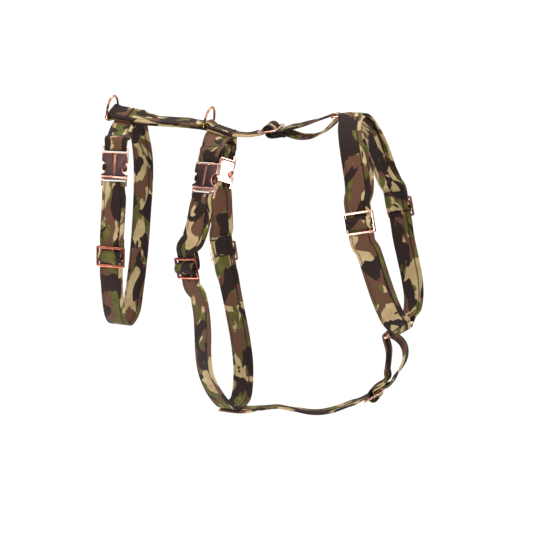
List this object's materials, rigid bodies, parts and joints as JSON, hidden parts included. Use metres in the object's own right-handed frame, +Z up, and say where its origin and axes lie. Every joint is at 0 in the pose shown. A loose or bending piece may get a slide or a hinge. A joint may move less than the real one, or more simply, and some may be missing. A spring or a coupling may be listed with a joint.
{
  "type": "dog strap harness",
  "caption": "Strap harness for a dog: back strap, girth and neck loops and belly strap of webbing, with side-release buckles, three-bar sliders and D-rings.",
  "frame": {"origin": "on the back strap at the front D-ring, between the girth loops, in the middle of the strap", "axes": "+X towards the dog's head, +Y to the dog's left side, away from the viewer, +Z up"},
  "size_m": [0.3441, 0.1578, 0.3388],
  "materials": {
    "webbing": "woodland camouflage fabric sewn over webbing, matte",
    "rose_gold": "rose-gold plated, polished",
    "dark_plate": "dark plum-brown, satin",
    "inlay": "rose-gold plated, satin"
  },
  "bodies": {
    "harness": {"back_strap": "webbing", "rear_tab": "webbing", "rear_girth_strap": "webbing", "front_tab_near": "webbing", "front_tab_far": "webbing", "front_girth_near": "webbing", "front_girth_far": "webbing", "belly_strap": "webbing", "neck_strap_near": "webbing", "neck_strap_far": "webbing", "rear_buckle_housing": "rose_gold", "rear_buckle_faceplate": "dark_plate", "rear_buckle_inlay": "inlay", "rear_buckle_plug": "rose_gold", "front_buckle_near_housing": "rose_gold", "front_buckle_near_faceplate": "dark_plate", "front_buckle_near_inlay": "inlay", "front_buckle_near_plug": "rose_gold", "front_buckle_far_housing": "rose_gold", "front_buckle_far_faceplate": "dark_plate", "front_buckle_far_inlay": "inlay", "front_buckle_far_plug": "rose_gold", "withers_ring": "rose_gold", "chest_ring": "rose_gold"},
    "rear_d_ring": {"rear_d_ring": "rose_gold"},
    "front_d_ring": {"front_d_ring": "rose_gold"},
    "back_slider": {"back_slider": "rose_gold"},
    "rear_slider": {"rear_slider": "rose_gold"},
    "front_slider_near": {"front_slider_near": "rose_gold"},
    "front_slider_far": {"front_slider_far": "rose_gold"},
    "neck_slider_near": {"neck_slider_near": "rose_gold"},
    "neck_slider_far": {"neck_slider_far": "rose_gold"},
    "belly_slider": {"belly_slider": "rose_gold"},
    "rear_buckle_arm_a": {"rear_buckle_arm_a": "rose_gold"},
    "rear_buckle_arm_b": {"rear_buckle_arm_b": "rose_gold"},
    "front_buckle_near_arm_a": {"front_buckle_near_arm_a": "rose_gold"},
    "front_buckle_near_arm_b": {"front_buckle_near_arm_b": "rose_gold"},
    "front_buckle_far_arm_a": {"front_buckle_far_arm_a": "rose_gold"},
    "front_buckle_far_arm_b": {"front_buckle_far_arm_b": "rose_gold"}
  },
  "joints": [
    {"name": "rear_d_ring_swing", "type": "hinge", "parent": "harness", "child": "rear_d_ring", "pos_m": [-0.11303, 0, 0.01359], "axis": [0.0648, 0.8758, 0.4783], "range_deg": [-80, 55]},
    {"name": "front_d_ring_swing", "type": "hinge", "parent": "harness", "child": "front_d_ring", "pos_m": [-0.0026, -0.00017, 0.00233], "axis": [0.0268, 0.9927, 0.1176], "range_deg": [-65, 65]},
    {"name": "back_slider_rock", "type": "hinge", "parent": "harness", "child": "back_slider", "pos_m": [0.06644, -0.00064, -0.00048], "axis": [-0.0259, 0.9859, 0.1652], "range_deg": [-2, 2]},
    {"name": "rear_slider_rock", "type": "hinge", "parent": "harness", "child": "rear_slider", "pos_m": [-0.09186, -0.05786, -0.1341], "axis": [0.987, 0.1494, -0.0597], "range_deg": [-2, 2]},
    {"name": "front_slider_near_rock", "type": "hinge", "parent": "harness", "child": "front_slider_near", "pos_m": [-0.00297, -0.06612, -0.14009], "axis": [0.9117, -0.3946, 0.1144], "range_deg": [-2, 2]},
    {"name": "front_slider_far_rock", "type": "hinge", "parent": "harness", "child": "front_slider_far", "pos_m": [-0.01125, 0.06781, -0.14424], "axis": [-0.9736, -0.1708, -0.1511], "range_deg": [-2, 2]},
    {"name": "neck_slider_near_rock", "type": "hinge", "parent": "harness", "child": "neck_slider_near", "pos_m": [0.17899, -0.07179, -0.08455], "axis": [0.9824, 0.07, 0.1735], "range_deg": [-2, 2]},
    {"name": "neck_slider_far_rock", "type": "hinge", "parent": "harness", "child": "neck_slider_far", "pos_m": [0.18827, 0.07115, -0.08586], "axis": [-0.9782, 0.1357, -0.1571], "range_deg": [-2, 2]},
    {"name": "belly_slider_rock", "type": "hinge", "parent": "harness", "child": "belly_slider", "pos_m": [0.18115, 0, -0.27497], "axis": [0, -1, 0], "range_deg": [-2, 2]},
    {"name": "rear_buckle_arm_a_press", "type": "hinge", "parent": "harness", "child": "rear_buckle_arm_a", "pos_m": [-0.07962, -0.05154, -0.04868], "axis": [0.2996, -0.9277, 0.2226], "range_deg": [0, 8], "stiffness_Nm_per_rad": 0.4},
    {"name": "rear_buckle_arm_b_press", "type": "hinge", "parent": "harness", "child": "rear_buckle_arm_b", "pos_m": [-0.09507, -0.05637, -0.048], "axis": [-0.2996, 0.9277, -0.2226], "range_deg": [0, 8], "stiffness_Nm_per_rad": 0.4},
    {"name": "front_buckle_near_arm_a_press", "type": "hinge", "parent": "harness", "child": "front_buckle_near_arm_a", "pos_m": [0.02161, -0.05687, -0.05666], "axis": [-0.1699, -0.9344, 0.3132], "range_deg": [0, 8], "stiffness_Nm_per_rad": 0.4},
    {"name": "front_buckle_near_arm_b_press", "type": "hinge", "parent": "harness", "child": "front_buckle_near_arm_b", "pos_m": [0.00569, -0.05387, -0.05634], "axis": [0.1699, 0.9344, -0.3132], "range_deg": [0, 8], "stiffness_Nm_per_rad": 0.4},
    {"name": "front_buckle_far_arm_a_press", "type": "hinge", "parent": "harness", "child": "front_buckle_far_arm_a", "pos_m": [-0.01622, 0.05367, -0.05525], "axis": [0.0534, 0.9207, 0.3865], "range_deg": [0, 8], "stiffness_Nm_per_rad": 0.4},
    {"name": "front_buckle_far_arm_b_press", "type": "hinge", "parent": "harness", "child": "front_buckle_far_arm_b", "pos_m": [-0.00064, 0.05459, -0.05961], "axis": [-0.0534, -0.9207, -0.3865], "range_deg": [0, 8], "stiffness_Nm_per_rad": 0.4}
  ]
}
